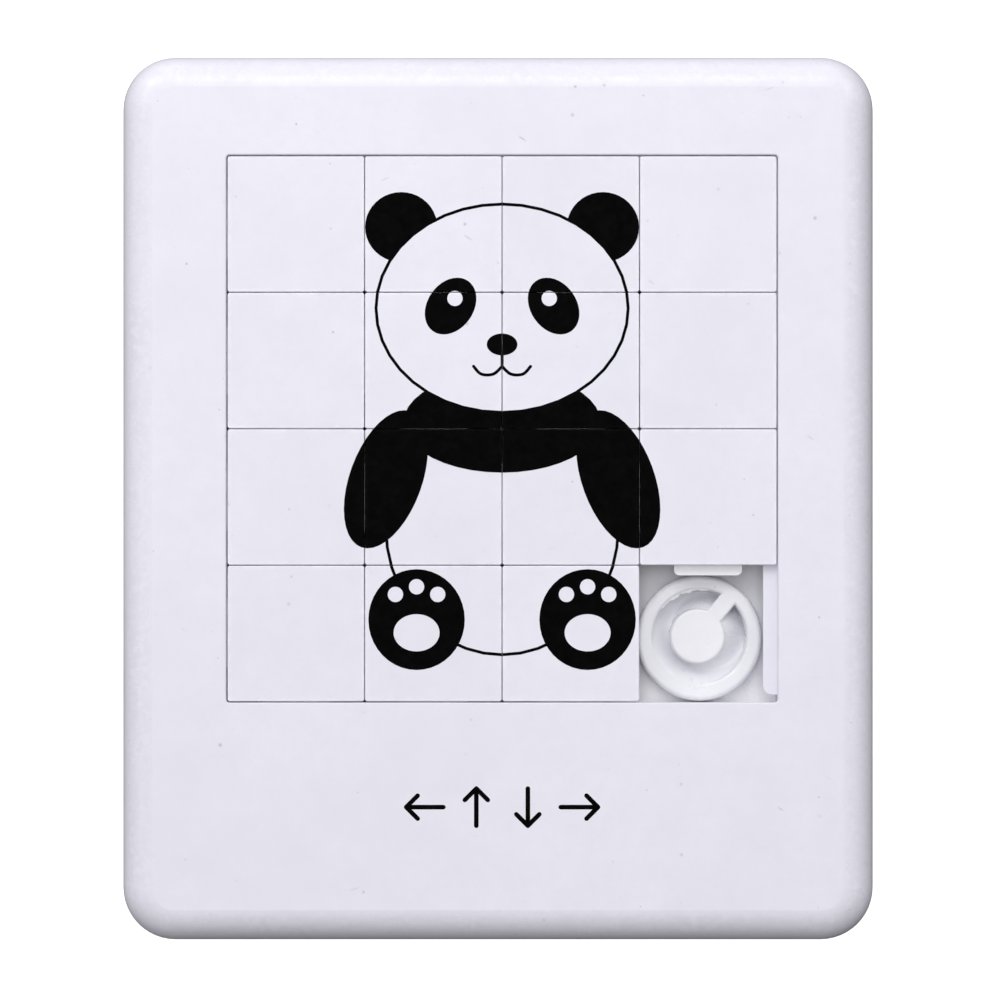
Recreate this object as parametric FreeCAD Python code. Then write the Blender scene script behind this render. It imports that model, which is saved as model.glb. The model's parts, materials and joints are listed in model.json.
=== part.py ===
import FreeCAD, Part
import math
import os

# Sliding tile puzzle: fifteen interlocking tiles and one open cell in a two-piece moulded case.
# Millimetres. The puzzle lies on its back: +Z out of the face, +Y towards the top of the picture,
# origin on the back face under the middle of the case.

# How far joined solids run into each other, and how far a cut runs past a face
weld = 0.5
past = 1.0

# Case, outside
case_width = 68.6
case_length = 80.7
case_height = 8.0
corner_radius = 4.8
front_edge_radius = 2.8
back_edge_radius = 0.4

# Case, walls
outer_wall = 2.0
skirt_wall = 1.4
face_thickness = 1.9
collar_wall = 2.6
rib_thickness = 1.0
rib_positions = (-21.0, -7.0, 7.0, 21.0)

# Back cover
cover_thickness = 1.55
cover_gap = 0.1
skirt_clear = 0.05
ledge_gap = 0.05
peg_radius = 1.0
peg_height = 3.4
peg_bevel = 0.25
peg_fit = 0.02
socket_radius = 1.9
socket_depth = 3.8
peg_positions = (
    (-29.6, 33.2),
    (29.9, 33.2),
    (-29.6, 4.0),
    (29.9, 4.0),
    (-29.6, -33.6),
    (29.9, -33.6),
    (0.0, -33.6),
)

# Window, in the middle of which the cells lie
cells = 4
window_x = 0.37
window_y = 6.35
window_corner_radius = 0.3
window_bevel = 0.12

# Tiles
tile_width = 12.475
tile_length = 12.385
tile_gap = 0.065
wall_gap = 0.1
tile_thickness = 2.4
tile_face_drop = 0.1
tile_corner_radius = 0.23
tile_edge_radius = 0.09
tile_foot_bevel = 0.15

# Tongues and grooves
tongue_reach = 0.95
tongue_width = 6.2
tongue_thickness = 0.85
tongue_corner_radius = 0.5
tongue_below_face = 1.35
groove_height = 1.05
groove_depth = 1.3
rail_reach = 1.3
rail_end_gap = 0.72
rail_corner_radius = 0.8
wall_groove_depth = 1.35

# Bed of the back cover, under the tiles
bed_height = 3.6
bed_gap = 0.04
pocket_radius = 5.35

# Ring in the open cell
ring_x = 18.42
ring_y = -12.77
ring_radius = 5.77
ring_clear = 0.2
ring_bed_gap = 0.03
plug_radius = 5.3
ring_foot_bevel = 0.3
ring_draft = 0.05
rim_round = 0.45
rim_inner_radius = 4.3
rim_inner_round = 0.3
rim_inner_shift_x = 0.05
rim_inner_shift_y = 0.15
moat_height = 3.4
moat_draft = 0.25
hub_radius = 2.5
hub_height = 3.2
hub_draft = 0.25
hub_edge_radius = 0.25
hub_shift_x = -0.14
hub_shift_y = 0.14
spoke_width = 1.6
spoke_angle = 51.0
spoke_edge_radius = 0.2
spigot_radius = 1.5
spigot_height = 1.4
spigot_fit = 0.02
bore_end_gap = 0.1

# Floor of the ring's moat: a round trough, as distance out and height over its lowest line, which
# is moved off the ring's middle and leans, so that it is deepest towards the upper right
trough_profile = ((0.6, 2.25), (1.8, 1.75), (2.8, 0.6), (3.5, 0.0), (4.2, 0.45), (5.4, 1.65))
trough_depth = 2.25
trough_shift = 1.0
trough_shift_angle = 40.0
trough_tilt = 7.0
trough_tilt_angle = 70.0

# Levels worked out from the sizes above
pitch_x = tile_width + tile_gap
pitch_y = tile_length + tile_gap
window_width = cells * pitch_x - tile_gap + 2 * wall_gap
window_length = cells * pitch_y - tile_gap + 2 * wall_gap
window_left = window_x - window_width / 2
window_right = window_x + window_width / 2
window_bottom = window_y - window_length / 2
window_top = window_y + window_length / 2
cavity_top = case_height - face_thickness
skirt_height = cover_thickness + skirt_clear
tile_top = case_height - tile_face_drop
tile_bottom = tile_top - tile_thickness
tongue_middle = tile_top - tongue_below_face
tongue_low = tongue_middle - tongue_thickness / 2
tongue_high = tongue_middle + tongue_thickness / 2
groove_low = tongue_middle - groove_height / 2
groove_high = tongue_middle + groove_height / 2
ring_top = tile_bottom - ring_clear


def block(x_low, x_high, y_low, y_high, z_low, z_high):
    """Plain box between two corners."""
    corner = FreeCAD.Vector(x_low, y_low, z_low)
    return Part.makeBox(x_high - x_low, y_high - y_low, z_high - z_low, corner)


def cylinder(x, y, z_low, z_high, radius):
    """Upright round bar."""
    return Part.makeCylinder(radius, z_high - z_low, FreeCAD.Vector(x, y, z_low))


def upright_edges(shape):
    """Edges that run straight up."""
    found = []
    for edge in shape.Edges:
        first = edge.Vertexes[0].Point
        last = edge.Vertexes[-1].Point
        if math.hypot(first.x - last.x, first.y - last.y) < 1e-6 and abs(first.z - last.z) > 1e-6:
            found.append(edge)
    return found


def edges_at(shape, z, x_reach=None, y_reach=None):
    """Edges that lie flat at height z, within a distance of the window's centre if one is given."""
    found = []
    for edge in shape.Edges:
        box = edge.BoundBox
        if abs(box.ZMin - z) > 1e-6 or abs(box.ZMax - z) > 1e-6:
            continue
        centre = box.Center
        if x_reach is not None and abs(centre.x - window_x) > x_reach:
            continue
        if y_reach is not None and abs(centre.y - window_y) > y_reach:
            continue
        found.append(edge)
    return found


def rounded_block(width, length, radius, z_low, z_high, x=0.0, y=0.0):
    """Upright block with rounded corners, centred on (x, y)."""
    sharp = block(x - width / 2, x + width / 2, y - length / 2, y + length / 2, z_low, z_high)
    return sharp.makeFillet(radius, upright_edges(sharp))


def case_outline(inset, z_low, z_high):
    """Block with the case's outline, drawn in by the inset."""
    return rounded_block(
        case_width - 2 * inset, case_length - 2 * inset, corner_radius - inset, z_low, z_high
    )


def window_block(grow, radius, z_low, z_high):
    """Block over the window, grown on every side."""
    width = window_width + 2 * grow
    length = window_length + 2 * grow
    return rounded_block(width, length, radius, z_low, z_high, window_x, window_y)


def outer_form():
    """Outside of the closed case, with its rounded front edge."""
    form = case_outline(0.0, 0.0, case_height)
    form = form.makeFillet(front_edge_radius, edges_at(form, case_height))
    return form.makeFillet(back_edge_radius, edges_at(form, 0.0))


def wall_rails():
    """Rails on the window's right and top walls, which run in the tiles' grooves."""
    right = block(
        window_right - rail_reach,
        window_right + weld,
        window_bottom + rail_end_gap,
        window_top + weld,
        tongue_low,
        tongue_high,
    )
    top = block(
        window_left + rail_end_gap,
        window_right + weld,
        window_top - rail_reach,
        window_top + weld,
        tongue_low,
        tongue_high,
    )
    rails = right.fuse(top).removeSplitter()
    free_ends = []
    for edge in upright_edges(rails):
        point = edge.Vertexes[0].Point
        at_right_end = point.x < window_right and point.y < window_bottom + tile_length
        at_top_end = point.y < window_top and point.x < window_left + tile_width
        if at_right_end or at_top_end:
            free_ends.append(edge)
    return rails.makeFillet(rail_corner_radius, free_ends)


def wall_grooves():
    """Rebates under the window's left and bottom lips, open to the back."""
    left = block(
        window_left - wall_groove_depth,
        window_left + weld,
        window_bottom - wall_groove_depth,
        window_top,
        0.0,
        groove_high,
    )
    bottom = block(
        window_left - wall_groove_depth,
        window_right,
        window_bottom - wall_groove_depth,
        window_bottom + weld,
        0.0,
        groove_high,
    )
    return left.fuse(bottom)


def case_front():
    """Front shell: hollow border, window with its rails and rebates, ribs and peg sockets."""
    shell = outer_form()
    shell = shell.cut(case_outline(skirt_wall, -past, skirt_height))
    cavity = case_outline(outer_wall, 0.0, cavity_top)
    cavity = cavity.cut(window_block(collar_wall, corner_radius - outer_wall, skirt_height, cavity_top))
    for x in rib_positions:
        half = rib_thickness / 2
        rib = block(x - half, x + half, -case_length / 2, window_bottom, skirt_height, cavity_top)
        cavity = cavity.cut(rib)
    for x, y in peg_positions:
        cavity = cavity.cut(cylinder(x, y, skirt_height, cavity_top, socket_radius))
    shell = shell.cut(cavity)
    shell = shell.cut(window_block(0.0, window_corner_radius, -past, case_height + past))
    shell = shell.cut(wall_grooves())
    x_reach = window_width / 2 + window_corner_radius
    y_reach = window_length / 2 + window_corner_radius
    shell = shell.makeChamfer(window_bevel, edges_at(shell, case_height, x_reach, y_reach))
    shell = shell.fuse(wall_rails())
    for x, y in peg_positions:
        shell = shell.cut(cylinder(x, y, 0.0, skirt_height + socket_depth, peg_radius + peg_fit))
    return shell.removeSplitter()


def case_back():
    """Back cover: plate, bed under the tiles, ledges that close the rebates, pegs and ring seat."""
    cover = case_outline(skirt_wall + cover_gap, 0.0, cover_thickness)
    bed = block(
        window_left - ledge_gap - weld,
        window_right - bed_gap,
        window_bottom - ledge_gap - weld,
        window_top - bed_gap,
        cover_thickness - weld,
        bed_height,
    )
    bed = bed.makeFillet(window_corner_radius, upright_edges(bed))
    left = block(
        window_left - wall_groove_depth + ledge_gap,
        window_left - ledge_gap,
        window_bottom - wall_groove_depth + ledge_gap,
        window_top - ledge_gap,
        cover_thickness - weld,
        groove_low,
    )
    bottom = block(
        window_left - wall_groove_depth + ledge_gap,
        window_right - ledge_gap,
        window_bottom - wall_groove_depth + ledge_gap,
        window_bottom - ledge_gap,
        cover_thickness - weld,
        groove_low,
    )
    cover = cover.fuse([left, bottom, bed])
    pocket = cylinder(ring_x, ring_y, cover_thickness, bed_height + past, pocket_radius)
    cover = cover.cut(pocket)
    for x, y in peg_positions:
        peg_top = cover_thickness + peg_height
        peg = cylinder(x, y, cover_thickness - weld, peg_top, peg_radius)
        peg = peg.makeChamfer(peg_bevel, edges_at(peg, peg_top))
        cover = cover.fuse(peg)
    spigot_top = cover_thickness + spigot_height
    cover = cover.fuse(cylinder(ring_x, ring_y, cover_thickness - weld, spigot_top, spigot_radius))
    return cover.removeSplitter()


def turned(profile):
    """Solid made by turning a closed outline of edges about the upright axis."""
    axis = FreeCAD.Vector(0.0, 0.0, 1.0)
    return Part.Face(Part.Wire(profile)).revolve(FreeCAD.Vector(0.0, 0.0, 0.0), axis, 360.0)


def at(r, z):
    """Point of an outline that is turned about the upright axis."""
    return FreeCAD.Vector(r, 0.0, z)


def trough_space():
    """Space over the moat's floor."""
    floor = Part.BSplineCurve()
    floor.interpolate([at(r, z) for r, z in trough_profile])
    first_r, first_z = trough_profile[0]
    last_r, last_z = trough_profile[-1]
    high = moat_height + past
    space = turned([
        Part.LineSegment(at(0.0, first_z), at(first_r, first_z)).toShape(),
        floor.toShape(),
        Part.LineSegment(at(last_r, last_z), at(last_r, high)).toShape(),
        Part.LineSegment(at(last_r, high), at(0.0, high)).toShape(),
        Part.LineSegment(at(0.0, high), at(0.0, first_z)).toShape(),
    ])
    lean = math.radians(trough_tilt_angle)
    level_line = FreeCAD.Vector(-math.sin(lean), math.cos(lean), 0.0)
    space.rotate(FreeCAD.Vector(0.0, 0.0, 0.0), level_line, trough_tilt)
    way = math.radians(trough_shift_angle)
    x = trough_shift * math.cos(way)
    y = trough_shift * math.sin(way)
    space.translate(FreeCAD.Vector(x, y, ring_top - trough_depth))
    return space


def rim_space():
    """Space inside the rim: a steep wall with a rounded upper edge."""
    low = ring_top - moat_height
    high = ring_top + past
    foot = rim_inner_radius - moat_draft
    mouth = rim_inner_radius + rim_inner_round
    bulge = rim_inner_round * (1.0 - math.sqrt(0.5))
    wall_top = ring_top - rim_inner_round
    middle = at(rim_inner_radius + bulge, ring_top - bulge)
    edge = Part.Arc(at(rim_inner_radius, wall_top), middle, at(mouth, ring_top))
    space = turned([
        Part.LineSegment(at(0.0, low), at(foot, low)).toShape(),
        Part.LineSegment(at(foot, low), at(rim_inner_radius, wall_top)).toShape(),
        edge.toShape(),
        Part.LineSegment(at(mouth, ring_top), at(mouth, high)).toShape(),
        Part.LineSegment(at(mouth, high), at(0.0, high)).toShape(),
        Part.LineSegment(at(0.0, high), at(0.0, low)).toShape(),
    ])
    space.translate(FreeCAD.Vector(rim_inner_shift_x, rim_inner_shift_y, 0.0))
    return space


def ring_middle():
    """Hub and spoke."""
    low = ring_top - hub_height
    hub = Part.makeCone(hub_radius + hub_draft, hub_radius, hub_height, FreeCAD.Vector(0.0, 0.0, low))
    hub = hub.makeFillet(hub_edge_radius, edges_at(hub, ring_top))
    half = spoke_width / 2
    reach = (rim_inner_radius + ring_radius) / 2
    spoke = block(hub_radius / 2, reach, -half, half, low, ring_top)
    long_edges = [e for e in edges_at(spoke, ring_top) if e.BoundBox.XLength > spoke_width]
    spoke = spoke.makeFillet(spoke_edge_radius, long_edges)
    spoke.rotate(FreeCAD.Vector(0.0, 0.0, 0.0), FreeCAD.Vector(0.0, 0.0, 1.0), spoke_angle)
    middle = hub.fuse(spoke)
    middle.translate(FreeCAD.Vector(hub_shift_x, hub_shift_y, 0.0))
    return middle


def gap_ring():
    """Ring in the open cell: plug in the bed's pocket, and a wider head with moat, hub and spoke."""
    shoulder = bed_height + ring_bed_gap
    head_base = FreeCAD.Vector(0.0, 0.0, shoulder)
    head = Part.makeCone(ring_radius - ring_draft, ring_radius, ring_top - shoulder, head_base)
    head = head.makeFillet(rim_round, edges_at(head, ring_top))
    plug = cylinder(0.0, 0.0, cover_thickness, shoulder + weld, plug_radius)
    plug = plug.makeChamfer(ring_foot_bevel, edges_at(plug, cover_thickness))
    ring = head.fuse(plug)
    ring = ring.cut(trough_space().common(rim_space()))
    ring = ring.fuse(ring_middle())
    bore_top = cover_thickness + spigot_height + bore_end_gap
    ring = ring.cut(cylinder(0.0, 0.0, 0.0, bore_top, spigot_radius + spigot_fit))
    ring = ring.removeSplitter()
    ring.translate(FreeCAD.Vector(ring_x, ring_y, 0.0))
    return ring


def tongue():
    """Tongue on the left side of a tile that is centred on the origin, rounded at its free corners."""
    tip = -tile_width / 2 - tongue_reach
    half = tongue_width / 2
    plain = block(tip, tip + tongue_reach + weld, -half, half, tongue_low, tongue_high)
    free = [e for e in upright_edges(plain) if e.BoundBox.XMax < tip + 1e-6]
    return plain.makeFillet(tongue_corner_radius, free)


def tile_blank():
    """One tile, centred on the origin: tongues on the left and bottom, grooves on the right and top."""
    half_x = tile_width / 2
    half_y = tile_length / 2
    body = rounded_block(tile_width, tile_length, tile_corner_radius, tile_bottom, tile_top)
    body = body.makeFillet(tile_edge_radius, edges_at(body, tile_top))
    body = body.makeChamfer(tile_foot_bevel, edges_at(body, tile_bottom))
    side = tongue()
    bottom = side.copy()
    bottom.rotate(FreeCAD.Vector(0.0, 0.0, 0.0), FreeCAD.Vector(0.0, 0.0, 1.0), 90.0)
    bottom.translate(FreeCAD.Vector(0.0, half_x - half_y, 0.0))
    body = body.fuse([side, bottom])
    groove_x = half_x - groove_depth
    groove_y = half_y - groove_depth
    right_x = half_x + past
    top_y = half_y + past
    left_x = -half_x - tongue_reach - past
    right_groove = block(groove_x, right_x, -half_y - past, top_y, groove_low, groove_high)
    top_groove = block(left_x, right_x, groove_y, top_y, groove_low, groove_high)
    body = body.cut(right_groove.fuse(top_groove))
    return body.removeSplitter()


def tile(blank, row, column):
    """Copy of the blank in its cell, counted from the top left."""
    placed = blank.copy()
    x = window_left + wall_gap + tile_width / 2 + column * pitch_x
    y = window_top - wall_gap - tile_length / 2 - row * pitch_y
    placed.translate(FreeCAD.Vector(x, y, 0.0))
    return placed


os.makedirs("parts", exist_ok=True)
case_front().exportStep("parts/case_front.step")
case_back().exportStep("parts/case_back.step")
gap_ring().exportStep("parts/gap_ring.step")
blank_tile = tile_blank()
for number in range(cells * cells - 1):
    shape = tile(blank_tile, number // cells, number % cells)
    shape.exportStep(f"parts/tile_{number + 1:02d}.step")
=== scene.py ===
import json
import math

import bmesh
import bpy
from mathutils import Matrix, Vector
from mathutils.geometry import delaunay_2d_cdt


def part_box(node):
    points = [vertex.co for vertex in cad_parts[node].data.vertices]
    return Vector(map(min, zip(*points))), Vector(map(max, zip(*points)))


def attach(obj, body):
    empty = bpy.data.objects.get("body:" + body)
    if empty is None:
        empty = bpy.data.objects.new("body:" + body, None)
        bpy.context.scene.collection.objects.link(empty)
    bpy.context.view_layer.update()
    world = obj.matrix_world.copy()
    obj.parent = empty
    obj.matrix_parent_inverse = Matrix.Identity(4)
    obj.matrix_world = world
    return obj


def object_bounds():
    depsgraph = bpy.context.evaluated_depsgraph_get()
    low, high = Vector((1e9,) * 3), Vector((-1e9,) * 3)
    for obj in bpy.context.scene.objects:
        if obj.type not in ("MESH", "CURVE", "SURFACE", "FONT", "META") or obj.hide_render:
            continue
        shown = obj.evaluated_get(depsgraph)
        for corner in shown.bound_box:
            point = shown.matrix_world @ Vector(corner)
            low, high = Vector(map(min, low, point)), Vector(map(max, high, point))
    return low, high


# Sliding tile puzzle: materials, print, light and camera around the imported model.
# Lengths are in metres unless a name ends in _mm.

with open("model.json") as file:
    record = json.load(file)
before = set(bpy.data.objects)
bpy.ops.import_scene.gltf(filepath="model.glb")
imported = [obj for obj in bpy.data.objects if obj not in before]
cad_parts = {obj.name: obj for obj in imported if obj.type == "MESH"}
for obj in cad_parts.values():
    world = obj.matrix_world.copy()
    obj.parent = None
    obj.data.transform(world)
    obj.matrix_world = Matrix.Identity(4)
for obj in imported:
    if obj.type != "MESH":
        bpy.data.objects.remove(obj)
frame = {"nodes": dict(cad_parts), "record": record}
bpy.context.view_layer.update()
cad_low, cad_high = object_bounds()

MM = 0.001
ROWS = 4
TILES = [f"tile_{n:02d}" for n in range(1, 16)]
bodies = {n: b for b, ns in frame["record"]["behaviour"]["bodies"].items() for n in ns}

# Roundings of the model and the size of a tile's face, in millimetres
tile_edge_mm = 0.09
tile_corner_mm = 0.23
case_corner_mm = 4.8
tile_face_mm = Vector((12.475, 12.385))

# Places read from the model, in millimetres
first_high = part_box("tile_01")[1] / MM
sixth_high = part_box("tile_06")[1] / MM
pitch_mm = Vector((sixth_high.x - first_high.x, first_high.y - sixth_high.y))
seam_mm = pitch_mm - tile_face_mm
field_left_mm = first_high.x + seam_mm.x / 2 - pitch_mm.x
field_top_mm = first_high.y + seam_mm.y / 2
field_bottom_mm = field_top_mm - ROWS * pitch_mm.y
window_x_mm = field_left_mm + ROWS * pitch_mm.x / 2
window_y_mm = field_top_mm - ROWS * pitch_mm.y / 2
tile_top_mm = first_high.z
face_mm = cad_high.z / MM
case_half_x_mm = cad_high.x / MM
case_half_y_mm = cad_high.y / MM

# ------------------------------------------------------------------ materials


class Surface:
    """A node material in which lengths are millimetres in the object's own frame."""

    def __init__(self, name):
        self.material = bpy.data.materials.new(name)
        self.material.use_nodes = True
        self.tree = self.material.node_tree
        self.shader = self.tree.nodes["Principled BSDF"]
        coordinates = self.tree.nodes.new("ShaderNodeTexCoord")
        scaled = self.tree.nodes.new("ShaderNodeVectorMath")
        scaled.operation = "SCALE"
        scaled.inputs["Scale"].default_value = 1 / MM
        self.join(coordinates.outputs["Object"], scaled.inputs[0])
        self.place = scaled.outputs["Vector"]
        split = self.tree.nodes.new("ShaderNodeSeparateXYZ")
        self.join(self.place, split.inputs[0])
        self.x, self.y, self.z = split.outputs
        # 1 on level faces, 0 on walls
        facing = self.tree.nodes.new("ShaderNodeSeparateXYZ")
        self.join(coordinates.outputs["Normal"], facing.inputs[0])
        self.level = self.step(self.math("ABSOLUTE", facing.outputs["Z"]), 0.6, 0.9)

    def join(self, value, socket):
        """Puts a number or another node's output into a socket."""
        if isinstance(value, bpy.types.NodeSocket):
            self.tree.links.new(value, socket)
        else:
            socket.default_value = value

    def math(self, operation, first, second=0.0, clamp=False):
        node = self.tree.nodes.new("ShaderNodeMath")
        node.operation = operation
        node.use_clamp = clamp
        self.join(first, node.inputs[0])
        self.join(second, node.inputs[1])
        return node.outputs[0]

    def step(self, value, low, high, to_low=0.0, to_high=1.0):
        """Smooth step from to_low at low to to_high at high."""
        node = self.tree.nodes.new("ShaderNodeMapRange")
        node.interpolation_type = "SMOOTHSTEP"
        self.join(value, node.inputs["Value"])
        for name, number in (("From Min", low), ("From Max", high), ("To Min", to_low), ("To Max", to_high)):
            node.inputs[name].default_value = number
        return node.outputs[0]

    def noise(self, size_mm, detail=2.0, roughness=0.5, stretch=(1, 1, 1), turn=0.0):
        """Noise whose features are about size_mm across, stretched and turned about Z if asked."""
        place = self.place
        if stretch != (1, 1, 1) or turn:
            mapping = self.tree.nodes.new("ShaderNodeMapping")
            self.join(place, mapping.inputs["Vector"])
            mapping.inputs["Rotation"].default_value = (0, 0, math.radians(turn))
            mapping.inputs["Scale"].default_value = stretch
            place = mapping.outputs["Vector"]
        node = self.tree.nodes.new("ShaderNodeTexNoise")
        self.join(place, node.inputs["Vector"])
        node.inputs["Scale"].default_value = 1 / size_mm
        node.inputs["Detail"].default_value = detail
        node.inputs["Roughness"].default_value = roughness
        return node.outputs["Fac"]

    def marks(self, spacing_mm, size_mm, share, long=1.0, turn=0.0):
        """1 on small marks on level faces: about that far apart, that wide, in that share of the cells,
        and as many times as long as they are wide, turned about Z by degrees."""
        turned = self.tree.nodes.new("ShaderNodeMapping")
        self.join(self.place, turned.inputs["Vector"])
        turned.inputs["Rotation"].default_value = (0, 0, math.radians(turn))
        squeezed = self.tree.nodes.new("ShaderNodeMapping")
        self.join(turned.outputs["Vector"], squeezed.inputs["Vector"])
        squeezed.inputs["Scale"].default_value = (1 / long, 1, 1)
        node = self.tree.nodes.new("ShaderNodeTexVoronoi")
        node.voronoi_dimensions = "2D"
        self.join(squeezed.outputs["Vector"], node.inputs["Vector"])
        node.inputs["Scale"].default_value = 1 / spacing_mm
        hue = self.tree.nodes.new("ShaderNodeSeparateColor")
        self.join(node.outputs["Color"], hue.inputs[0])
        reach = self.math("MULTIPLY", hue.outputs[1], size_mm / spacing_mm)
        spot = self.math("SUBTRACT", 1.4, self.math("DIVIDE", node.outputs["Distance"], reach), clamp=True)
        spot = self.math("MULTIPLY", spot, self.math("MULTIPLY", hue.outputs[2], self.level))
        return self.math("MULTIPLY", spot, self.math("LESS_THAN", hue.outputs[0], share))

    def mix(self, amount, first, second):
        """Colour between two colours."""
        node = self.tree.nodes.new("ShaderNodeMix")
        node.data_type = "RGBA"
        self.join(amount, node.inputs[0])
        for value, socket in ((first, node.inputs[6]), (second, node.inputs[7])):
            self.join(value if isinstance(value, bpy.types.NodeSocket) else (*value, 1.0), socket)
        return node.outputs[2]

    def bump(self, height_mm):
        """Raises the shading by a height in millimetres."""
        node = self.tree.nodes.new("ShaderNodeBump")
        node.inputs["Distance"].default_value = MM
        node.inputs["Strength"].default_value = 1.0
        self.join(height_mm, node.inputs["Height"])
        self.join(node.outputs["Normal"], self.shader.inputs["Normal"])

    def inside_case(self):
        """Distance in from the case's outline, in plan."""
        beyond_x = self.math("SUBTRACT", self.math("ABSOLUTE", self.x), case_half_x_mm - case_corner_mm)
        beyond_y = self.math("SUBTRACT", self.math("ABSOLUTE", self.y), case_half_y_mm - case_corner_mm)
        across = self.math("POWER", self.math("MAXIMUM", beyond_x, 0.0), 2.0)
        along = self.math("POWER", self.math("MAXIMUM", beyond_y, 0.0), 2.0)
        round_part = self.math("SQRT", self.math("ADD", across, along))
        flat_part = self.math("MINIMUM", self.math("MAXIMUM", beyond_x, beyond_y), 0.0)
        return self.math("SUBTRACT", case_corner_mm, self.math("ADD", round_part, flat_part))

    def cell(self, value, start, pitch):
        """Whole cell number and distance from the cell's middle, along one axis."""
        count = self.math("DIVIDE", self.math("SUBTRACT", value, start), pitch)
        whole = self.math("FLOOR", count)
        offset = self.math("SUBTRACT", self.math("SUBTRACT", count, whole), 0.5)
        return whole, self.math("MULTIPLY", self.math("ABSOLUTE", offset), pitch)


WHITE = (0.800, 0.790, 0.880)
# Paler, less blue white than the tiles': painted light for the back cover's floor deep in the open cell
CELL_WHITE_PAINTED_LIGHT = (0.900, 0.895, 0.930)
# Paler, less blue white than the tiles': painted light for the ring, which lies in the shade of the open
# cell
RING_WHITE_PAINTED_LIGHT = (0.840, 0.840, 0.885)
# Paler white on the tiles' sides: painted light in the seams between tiles
PAINTED_SEAM_LIGHT_WHITE = (0.960, 0.955, 0.975)
GRIME = (0.30, 0.29, 0.31)


def scaled(colour, by):
    return tuple(min(c * by, 1.0) for c in colour)


def white_plastic(name, base=WHITE, gloss=0.34, grain_mm=0.004, edge_wear_and_highlight=None):
    """Moulded white plastic: clouding, fine mottle, specks, scuffs, grain, and paler edges that are worn
    and, on the tiles, a painted highlight too.
    """
    s = Surface(name)
    colour = s.mix(s.step(s.noise(13.0, 3.0), 0.35, 0.65), scaled(base, 0.985), scaled(base, 1.01))
    mottle = s.step(s.noise(1.1, 4.0, 0.7), 0.3, 0.7)
    colour = s.mix(s.math("MULTIPLY", mottle, 0.5), colour, scaled(base, 0.965))
    specks = s.marks(3.2, 0.17, 0.30)
    dots = s.marks(1.1, 0.06, 0.30)
    scratches = s.marks(3.6, 0.09, 0.20, 5.0, 35.0)
    more_scratches = s.marks(4.6, 0.08, 0.25, 7.0, -20.0)
    marks = s.math("MAXIMUM", specks, s.math("MAXIMUM", scratches, more_scratches))
    colour = s.mix(s.math("MULTIPLY", marks, 0.55), colour, GRIME)
    colour = s.mix(s.math("MULTIPLY", dots, 0.22), colour, GRIME)
    rub = s.step(s.noise(2.4, 3.0, 0.6, (1, 9, 1), 38.0), 0.66, 0.74)
    rough = s.step(s.noise(3.0, 4.0, 0.6), 0.3, 0.7, gloss - 0.05, gloss + 0.06)
    rough = s.math("ADD", rough, s.math("MULTIPLY", s.math("MAXIMUM", marks, rub), 0.12))
    if edge_wear_and_highlight is not None:
        # Paler edges: wear, and along the tiles' faces a painted highlight as well
        edge = s.math("MULTIPLY", edge_wear_and_highlight(s), s.step(s.noise(0.7, 3.0), 0.4, 0.62))
        colour = s.mix(s.math("MULTIPLY", edge, 0.6), colour, scaled(base, 1.08))
        rough = s.math("SUBTRACT", rough, s.math("MULTIPLY", edge, 0.10))
    grain = s.math("MULTIPLY", s.noise(0.3, 3.0), grain_mm)
    waves = s.math("MULTIPLY", s.noise(6.0, 2.0), 0.03)
    height = s.math("ADD", grain, waves)
    height = s.math("SUBTRACT", height, s.math("MULTIPLY", marks, 0.006))
    s.bump(height)
    s.join(colour, s.shader.inputs["Base Color"])
    s.join(rough, s.shader.inputs["Roughness"])
    s.shader.inputs["IOR"].default_value = 1.49
    return s


def case_edges(s):
    """1 along the rounded front edge, where hands rub the case."""
    inside = s.inside_case()
    return s.math("MULTIPLY", s.step(inside, 0.2, 0.9), s.step(inside, 3.2, 1.6))


def tile_edge_wear_and_highlight(s):
    """1 along the edges of the tiles' faces, which rub on each other; the paler colour there is wear and a
    painted highlight.
    """
    _, off_x = s.cell(s.x, field_left_mm, pitch_mm.x)
    _, off_y = s.cell(s.y, field_bottom_mm, pitch_mm.y)
    short_x = s.math("SUBTRACT", tile_face_mm.x / 2, off_x)
    short_y = s.math("SUBTRACT", tile_face_mm.y / 2, off_y)
    return s.step(s.math("MINIMUM", short_x, short_y), 0.45, 0.08)


def case_material():
    return white_plastic("case_white_plastic", edge_wear_and_highlight=case_edges).material


def cover_material():
    """The back cover is moulded with a fine matt texture. Its white is paler and less blue than the tiles',
    painted light for the shaded floor of the open cell.
    """
    return white_plastic("cover_matt_plastic", CELL_WHITE_PAINTED_LIGHT, gloss=0.5, grain_mm=0.02).material


def ring_material():
    # The ring's paler white is painted light, standing in for the light its shaded place in the cell lacks
    return white_plastic("ring_white_plastic", RING_WHITE_PAINTED_LIGHT, gloss=0.3).material


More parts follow.
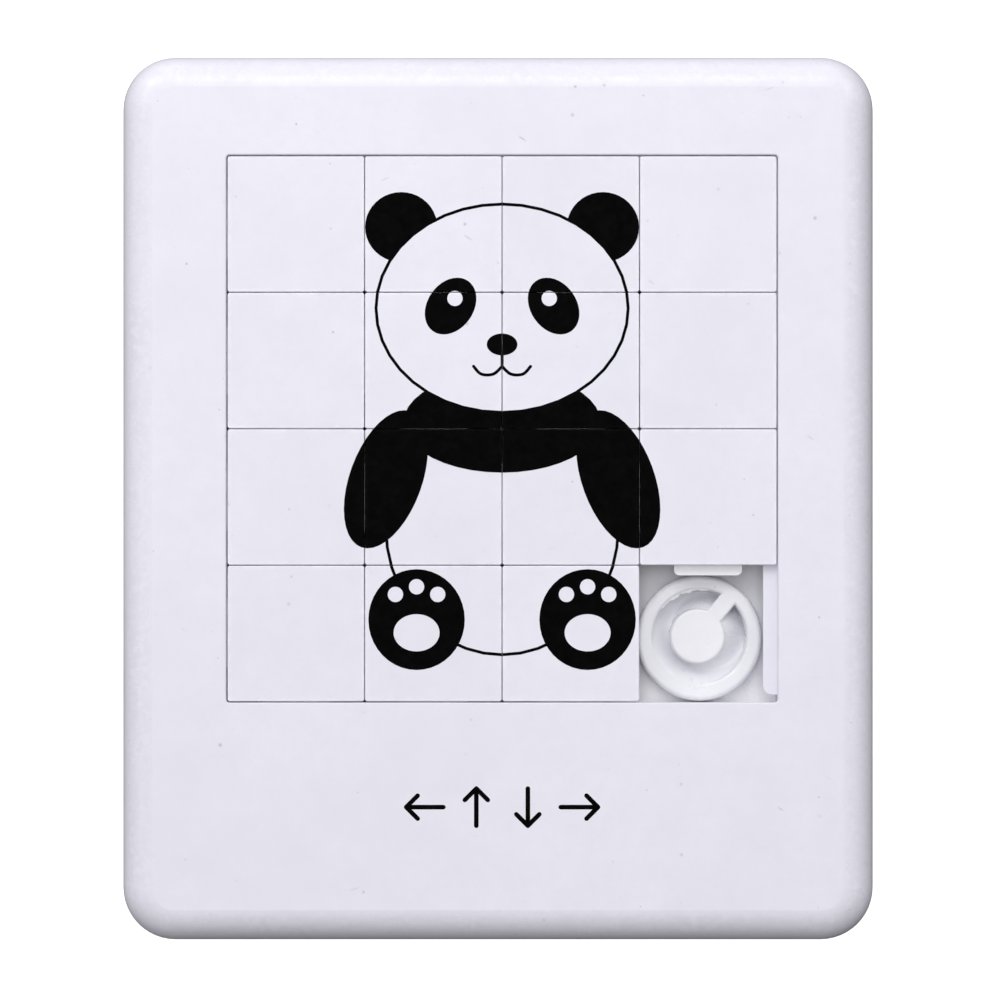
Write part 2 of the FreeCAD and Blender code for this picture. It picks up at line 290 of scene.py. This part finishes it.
def tile_material():
    """Tile plastic, each tile a hair lighter or darker than the next; the sides below its rubbed face are
    painted paler, as painted light in the seams between the tiles.
    """
    s = white_plastic("tile_white_plastic", edge_wear_and_highlight=tile_edge_wear_and_highlight)
    column, _ = s.cell(s.x, field_left_mm, pitch_mm.x)
    row, _ = s.cell(s.y, field_bottom_mm, pitch_mm.y)
    both = s.tree.nodes.new("ShaderNodeCombineXYZ")
    s.join(column, both.inputs[0])
    s.join(row, both.inputs[1])
    chance = s.tree.nodes.new("ShaderNodeTexWhiteNoise")
    s.join(both.outputs[0], chance.inputs["Vector"])
    before = s.shader.inputs["Base Color"].links[0].from_socket
    colour = s.mix(s.math("MULTIPLY", chance.outputs["Value"], 0.035), before, GRIME)
    # Painted light: the sides below the face are made paler so the seams between tiles look less shaded
    below = s.step(s.z, tile_top_mm - 0.5, tile_top_mm - 0.1, 1.0, 0.0)
    colour = s.mix(s.math("MULTIPLY", below, 0.8), colour, PAINTED_SEAM_LIGHT_WHITE)
    s.join(colour, s.shader.inputs["Base Color"])
    return s.material


def ink_material():
    """Cured black print: nearly black, slightly uneven, a little shinier than matt."""
    s = Surface("black_print_ink")
    tone = s.step(s.noise(1.3, 4.0, 0.6), 0.35, 0.7)
    s.join(s.mix(tone, (0.0006, 0.0006, 0.0007), (0.0018, 0.0018, 0.0020)), s.shader.inputs["Base Color"])
    s.join(s.step(s.noise(0.6, 3.0), 0.3, 0.7, 0.42, 0.56), s.shader.inputs["Roughness"])
    s.bump(s.math("MULTIPLY", s.noise(0.12, 2.0), 0.003))
    s.shader.inputs["Specular IOR Level"].default_value = 0.02
    return s.material


def paint(nodes, material):
    for node in nodes:
        for place in frame["nodes"][node].material_slots:
            place.material = material


paint(["case_front"], case_material())
paint(["case_back"], cover_material())
ring_plastic = ring_material()
paint(["gap_ring"], ring_plastic)
paint(TILES, tile_material())
ink = ink_material()

# ------------------------------------------------------------------ the print
# A seated bear of plain ovals about the middle of the tile field, and four arrows, in millimetres.

CURVE_STEPS = 10
LINE_MM = 0.28


def smooth(points):
    """Points along a Catmull-Rom curve through the given points, from the first to the last."""
    count = len(points)
    found = []
    for i in range(count - 1):
        p = [Vector(points[min(max(i + k - 1, 0), count - 1)]) for k in range(4)]
        for n in range(CURVE_STEPS):
            t = n / CURVE_STEPS
            a = 2 * p[1]
            b = (p[2] - p[0]) * t
            c = (2 * p[0] - 5 * p[1] + 4 * p[2] - p[3]) * t**2
            d = (3 * p[1] - 3 * p[2] + p[3] - p[0]) * t**3
            found.append((a + b + c + d) / 2)
    found.append(Vector(points[-1]))
    return found


def oval(x, y, half_width, half_height, turn=0.0):
    """Ellipse about (x, y), turned anticlockwise by degrees."""
    found = []
    count = 40
    for n in range(count):
        a = 2 * math.pi * n / count
        u = half_width * math.cos(a)
        v = half_height * math.sin(a)
        c = math.cos(math.radians(turn))
        s = math.sin(math.radians(turn))
        found.append(Vector((x + u * c - v * s, y + u * s + v * c)))
    return found


def normals(outline, closed):
    """Unit vectors to the right of the way along a line of points."""
    found = []
    count = len(outline)
    for i in range(count):
        before = outline[i - 1] if closed or i else outline[0]
        after = outline[(i + 1) % count] if closed or i < count - 1 else outline[-1]
        way = (after - before).normalized()
        found.append(Vector((way.y, -way.x)))
    return found


def area(outline):
    """Signed area: above 0 where the outline runs anticlockwise."""
    total = 0.0
    for a, b in zip(outline, outline[1:] + outline[:1]):
        total += a.x * b.y - b.x * a.y
    return total / 2


def anticlockwise(outline):
    return outline if area(outline) > 0 else outline[::-1]


def grown(outline, by):
    """Closed outline moved outwards by a distance."""
    outline = anticlockwise(outline)
    return [p + n * by for p, n in zip(outline, normals(outline, True))]


def stroke(points, width=LINE_MM):
    """Outline of a smooth open line with round ends."""
    line = smooth(points)
    side = normals(line, False)
    half = width / 2
    right = [p + n * half for p, n in zip(line, side)]
    left = [p - n * half for p, n in zip(line, side)]
    cap = 6

    def end(centre, start):
        turned = []
        for k in range(1, cap):
            a = math.pi * k / cap
            turned.append(
                centre
                + Vector((
                    start.x * math.cos(a) - start.y * math.sin(a),
                    start.x * math.sin(a) + start.y * math.cos(a),
                ))
            )
        return turned

    return right + end(line[-1], side[-1] * half) + left[::-1] + end(line[0], -side[0] * half)


def outlined(outline):
    """A white shape with a black line round it, as two shapes."""
    return [(grown(outline, LINE_MM / 2), True), (grown(outline, -LINE_MM / 2), False)]


def both_sides(outline, black):
    """A shape and its mirror image."""
    return [(outline, black), ([Vector((-p.x, p.y)) for p in outline], black)]


def bear():
    """Shapes of the picture from back to front, each with True where it is black: a bear that sits
    facing forwards, with its arms at its sides and its round soles to the front."""
    body = oval(0.0, -9.0, 10.6, 11.6)
    collar = oval(0.0, 0.6, 9.0, 4.6)
    arm = oval(10.6, -4.6, 3.3, 6.6, 20.0)
    sole_x = 7.8
    sole_y = -17.4
    sole = oval(sole_x, sole_y, 4.4, 4.6)
    pad = oval(sole_x, sole_y - 1.2, 2.1, 1.7)
    toe_reach = 3.0
    toe_radius = 0.7
    ear = oval(9.2, 18.4, 3.3, 3.2)
    head = oval(0.0, 11.0, 11.5, 9.5)
    eye_patch = oval(4.7, 11.2, 2.1, 2.8, 35.0)
    eye = oval(4.3, 11.9, 0.7, 0.7)
    nose = oval(0.0, 7.7, 1.4, 1.0)
    lip = stroke([(0.0, 6.9), (0.0, 5.7)])
    smile = stroke([(0.0, 5.7), (0.8, 5.0), (1.9, 5.0), (2.6, 5.7)])
    shapes = outlined(body)
    shapes.append((collar, True))
    shapes += both_sides(arm, True)
    shapes += both_sides(sole, True)
    shapes += both_sides(pad, False)
    for turn in (50.0, 90.0, 130.0):
        toe_x = sole_x + toe_reach * math.cos(math.radians(turn))
        toe_y = sole_y + toe_reach * math.sin(math.radians(turn))
        shapes += both_sides(oval(toe_x, toe_y, toe_radius, toe_radius), False)
    shapes += both_sides(ear, True)
    shapes += outlined(head)
    shapes += both_sides(eye_patch, True)
    shapes += both_sides(eye, False)
    shapes.append((nose, True))
    shapes.append((lip, True))
    shapes += both_sides(smile, True)
    return shapes


def arrows():
    """Four plain arrows under the tile field, one for each way a tile can slide."""
    shapes = []
    spacing = 4.7
    reach = 1.7
    barb = 1.05
    thick = 0.42
    for n, turn in enumerate((180.0, 90.0, -90.0, 0.0)):
        middle = Vector(((n - 1.5) * spacing, 0.0))
        way = Vector((math.cos(math.radians(turn)), math.sin(math.radians(turn))))
        across = Vector((-way.y, way.x))
        tail = middle - way * reach
        tip = middle + way * reach
        shapes.append((stroke([tuple(tail), tuple(tip)], thick), True))
        upper = tip - way * barb + across * barb
        lower = tip - way * barb - across * barb
        shapes.append((stroke([tuple(upper), tuple(tip)], thick), True))
        shapes.append((stroke([tuple(lower), tuple(tip)], thick), True))
    return shapes


def rounded_face(middle, half, radius):
    """Outline of a rectangle with rounded corners."""
    found = []
    steps = 6
    for quarter in range(4):
        start = math.pi / 2 * quarter
        x = middle.x + (half.x - radius) * (1 if quarter in (0, 3) else -1)
        y = middle.y + (half.y - radius) * (1 if quarter in (0, 1) else -1)
        for n in range(steps + 1):
            a = start + math.pi / 2 * n / steps
            found.append(Vector((x + radius * math.cos(a), y + radius * math.sin(a))))
    return found


def black_parts(shapes, limits):
    """Triangles of the shapes' black parts that lie in the first of the limiting outlines."""
    points = []
    faces = []
    for outline in [*limits, *(s for s, _ in shapes)]:
        outline = anticlockwise(outline)
        faces.append(list(range(len(points), len(points) + len(outline))))
        points += outline
    made = delaunay_2d_cdt(points, [], faces, 1, 1e-4, True)
    kept = []
    for triangle, owners in zip(made[2], made[5]):
        drawn = [n - len(limits) for n in owners if n >= len(limits)]
        if drawn and shapes[max(drawn)][1] and (not limits or 0 in owners):
            kept.append(triangle)
    return made[0], kept


def print_piece(name, points, triangles, height_mm, foot_mm):
    """Thin closed layer of ink. The heights of its top and of its underside are functions of place."""
    mesh = bmesh.new()
    top = {}
    for n in sorted({n for t in triangles for n in t}):
        p = points[n]
        top[n] = mesh.verts.new((p.x * MM, p.y * MM, height_mm(p) * MM))
    for t in triangles:
        mesh.faces.new([top[n] for n in t])
    bmesh.ops.recalc_face_normals(mesh, faces=mesh.faces)
    for face in mesh.faces:
        if face.normal.z < 0:
            face.normal_flip()
    under = {}
    for vert in list(mesh.verts):
        place = Vector((vert.co.x, vert.co.y)) / MM
        under[vert] = mesh.verts.new((vert.co.x, vert.co.y, foot_mm(place) * MM))
    for face in list(mesh.faces):
        mesh.faces.new([under[v] for v in reversed(face.verts)])
    for edge in [e for e in mesh.edges if e.is_boundary and e.verts[0] in under and e.verts[1] in under]:
        loop = edge.link_loops[0]
        first, last = loop.vert, loop.link_loop_next.vert
        mesh.faces.new([last, first, under[first], under[last]])
    data = bpy.data.meshes.new(name)
    mesh.to_mesh(data)
    mesh.free()
    piece = bpy.data.objects.new(name, data)
    bpy.context.scene.collection.objects.link(piece)
    data.materials.append(ink)
    return piece


# How far the ink stands proud, how far it wraps past a tile's side, and how far down that side
INK_MM = 0.01
WRAP_MM = 0.006
WRAP_DEPTH_MM = 0.75

# Lines in from a tile's edge along which the ink bends over the edge's rounding
BEND_LINES_MM = (0.002, 0.012, 0.03, 0.06)

# How far the arrows lie above the middle of the wide border
ARROWS_UP_MM = 1.3


def in_from_edge(place, half, radius):
    """Distance in from a rounded rectangle's edge, for a place about its middle."""
    beyond_x = abs(place.x) - half.x + radius
    beyond_y = abs(place.y) - half.y + radius
    past = math.hypot(max(beyond_x, 0), max(beyond_y, 0))
    return radius - past - min(max(beyond_x, beyond_y), 0)


def print_tiles():
    """The picture, cut at the tiles' edges, with each cut on its own tile and down over its edge."""
    picture = bear()
    window_middle = Vector((window_x_mm, window_y_mm))
    half = tile_face_mm / 2
    for tile in TILES:
        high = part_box(tile)[1] / MM
        middle = Vector((high.x, high.y)) - half
        drawn_at = middle - window_middle
        near = [
            (outline, black)
            for outline, black in picture
            if min(p.x for p in outline) < drawn_at.x + half.x
            and max(p.x for p in outline) > drawn_at.x - half.x
            and min(p.y for p in outline) < drawn_at.y + half.y
            and max(p.y for p in outline) > drawn_at.y - half.y
        ]
        insets = (-WRAP_MM, *BEND_LINES_MM, tile_edge_mm)
        limits = []
        for inset in insets:
            size = Vector((half.x - inset, half.y - inset))
            limits.append(rounded_face(drawn_at, size, tile_corner_mm - inset))
        points, triangles = black_parts(near, limits)
        if not triangles:
            continue
        points = [p + window_middle for p in points]

        def height(place, middle=middle):
            inside = in_from_edge(place - middle, half, tile_corner_mm)
            short = tile_edge_mm - min(max(inside, 0.0), tile_edge_mm)
            return tile_top_mm - tile_edge_mm + math.sqrt(tile_edge_mm**2 - short**2)

        def top(place):
            return height(place) + INK_MM

        def foot(place, middle=middle):
            inside = in_from_edge(place - middle, half, tile_corner_mm)
            return tile_top_mm - WRAP_DEPTH_MM if inside < 0 else height(place) - INK_MM

        piece = print_piece(f"print_{tile}", points, triangles, top, foot)
        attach(piece, bodies[tile])


def print_case():
    """The arrows on the wide border under the tile field."""
    points, triangles = black_parts(arrows(), [])
    middle_y = (field_bottom_mm - case_half_y_mm) / 2 + ARROWS_UP_MM
    points = [Vector((p.x + window_x_mm, p.y + middle_y)) for p in points]
    piece = print_piece(
        "print_case_arrows", points, triangles, lambda _: face_mm + INK_MM, lambda _: face_mm - INK_MM
    )
    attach(piece, bodies["case_front"])


print_tiles()
print_case()

# ------------------------------------------------------------------ moulding flash

# Radius of the inside of the ring's rim, and its middle's place from the ring's, in millimetres
rim_inner_mm = 4.3
rim_shift_mm = Vector((0.05, 0.15, 0.0))


def ring_flash():
    """Thin wavy flash on the upper inner edge of the ring's rim, rooted in the rim."""
    ring_low, ring_high = (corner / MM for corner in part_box("gap_ring"))
    middle = (ring_low + ring_high) / 2 + rim_shift_mm
    first_angle = 80.0
    span = 64.0
    stations = 90
    widest = 0.26
    root_above = (rim_inner_mm + 0.25, 0.08)
    root_below = (rim_inner_mm + 0.15, 0.35)
    tip_drop = 0.16
    mesh = bmesh.new()
    rows = []
    for n in range(stations + 1):
        t = n / stations
        a = math.radians(first_angle + span * t)
        wave = 0.55 + 0.28 * math.sin(21.0 * t) + 0.17 * math.sin(53.0 * t + 1.0)
        reach = widest * wave * math.sqrt(math.sin(math.pi * t)) if 0 < n < stations else 0.0
        row = []
        for r, drop in (root_above, (rim_inner_mm - reach, tip_drop), root_below):
            x = middle.x + r * math.cos(a)
            y = middle.y + r * math.sin(a)
            row.append(mesh.verts.new((x * MM, y * MM, (ring_high.z - drop) * MM)))
        rows.append(row)
    for before, after in zip(rows, rows[1:]):
        for k in range(3):
            mesh.faces.new([before[k], before[(k + 1) % 3], after[(k + 1) % 3], after[k]])
    mesh.faces.new(rows[0])
    mesh.faces.new(rows[-1][::-1])
    bmesh.ops.recalc_face_normals(mesh, faces=mesh.faces)
    data = bpy.data.meshes.new("ring_flash")
    mesh.to_mesh(data)
    mesh.free()
    piece = bpy.data.objects.new("ring_flash", data)
    bpy.context.scene.collection.objects.link(piece)
    data.materials.append(ring_plastic)
    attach(piece, bodies["gap_ring"])


ring_flash()

# ------------------------------------------------------------------ stage


def make_floor():
    """Pale floor just under the puzzle, which gives the puzzle itself no light."""
    below = 0.02 * MM
    half_side = 3.0
    mesh = bmesh.new()
    bmesh.ops.create_grid(mesh, x_segments=8, y_segments=8, size=half_side)
    data = bpy.data.meshes.new("floor")
    mesh.to_mesh(data)
    mesh.free()
    floor = bpy.data.objects.new("floor", data)
    floor.location = (0, 0, cad_low.z - below)
    bpy.context.scene.collection.objects.link(floor)
    material = bpy.data.materials.new("floor_white")
    material.use_nodes = True
    shader = material.node_tree.nodes["Principled BSDF"]
    shader.inputs["Base Color"].default_value = (0.5, 0.5, 0.5, 1)
    shader.inputs["Roughness"].default_value = 0.9
    shader.inputs["Emission Color"].default_value = (1, 1, 1, 1)
    shader.inputs["Emission Strength"].default_value = 1.0
    data.materials.append(material)
    floor.visible_diffuse = False
    floor.visible_glossy = False


def make_light(name, place, size, watts):
    """Square soft light that points at the puzzle."""
    data = bpy.data.lights.new(name, "AREA")
    data.shape = "SQUARE"
    data.size = size
    data.energy = watts
    light = bpy.data.objects.new(name, data)
    light.location = place
    light.rotation_mode = "QUATERNION"
    light.rotation_quaternion = Vector(place).to_track_quat("Z", "Y")
    bpy.context.scene.collection.objects.link(light)


def make_world(even, lobes):
    """Soft light from all round: an even level above the horizon, and wide lobes that each have
    a direction, a sharpness and a level."""
    world = bpy.data.worlds.new("studio")
    bpy.context.scene.world = world
    world.use_nodes = True
    tree = world.node_tree
    way = tree.nodes.new("ShaderNodeTexCoord").outputs["Generated"]
    split = tree.nodes.new("ShaderNodeSeparateXYZ")
    tree.links.new(way, split.inputs[0])
    fade = tree.nodes.new("ShaderNodeMapRange")
    fade.interpolation_type = "SMOOTHSTEP"
    for name, number in (("From Min", -0.2), ("From Max", 0.2), ("To Min", 0.0), ("To Max", even)):
        fade.inputs[name].default_value = number
    tree.links.new(split.outputs["Z"], fade.inputs["Value"])
    total = fade.outputs[0]
    for direction, sharpness, level in lobes:
        facing = tree.nodes.new("ShaderNodeVectorMath")
        facing.operation = "DOT_PRODUCT"
        tree.links.new(way, facing.inputs[0])
        facing.inputs[1].default_value = Vector(direction).normalized()
        value = facing.outputs["Value"]
        for operation, number in (("MAXIMUM", 0.0), ("POWER", sharpness), ("MULTIPLY", level)):
            node = tree.nodes.new("ShaderNodeMath")
            node.operation = operation
            tree.links.new(value, node.inputs[0])
            node.inputs[1].default_value = number
            value = node.outputs[0]
        add = tree.nodes.new("ShaderNodeMath")
        tree.links.new(total, add.inputs[0])
        tree.links.new(value, add.inputs[1])
        total = add.outputs[0]
    tree.links.new(total, tree.nodes["Background"].inputs["Strength"])
    tree.nodes["Background"].inputs["Color"].default_value = (1, 1, 1, 1)


def make_camera():
    """Straight above the face, a hair off its middle, with a long lens, framed wider than the case."""
    off_x = 0.18 * MM
    off_y = -0.14 * MM
    data = bpy.data.cameras.new("camera")
    data.lens = 300.0
    data.sensor_width = 36.0
    shown = 0.0912
    distance = shown * data.lens / data.sensor_width
    camera = bpy.data.objects.new("camera", data)
    camera.location = (off_x, off_y, cad_high.z + distance)
    bpy.context.scene.collection.objects.link(camera)
    bpy.context.scene.camera = camera


make_floor()
make_world(0.256, [((0, 1, 0), 1.0, 0.473), ((-1, 0, 0), 2.0, 0.388)])
make_light("above", (0.0, 0.078, 0.897), 0.45, 1.667)
make_light("key", (0.0, 0.2, 0.3), 0.16, 0.287)
make_light("key_left", (-0.2, 0.22, 0.22), 0.16, 0.219)
make_light("key_right", (0.521, 0.521, 0.516), 0.45, 0.997)
make_light("left", (-0.636, 0.0, 0.636), 0.45, 0.178)
make_light("right", (0.636, 0.0, 0.636), 0.45, 0.350)
make_camera()
bpy.context.scene.view_settings.view_transform = "Standard"
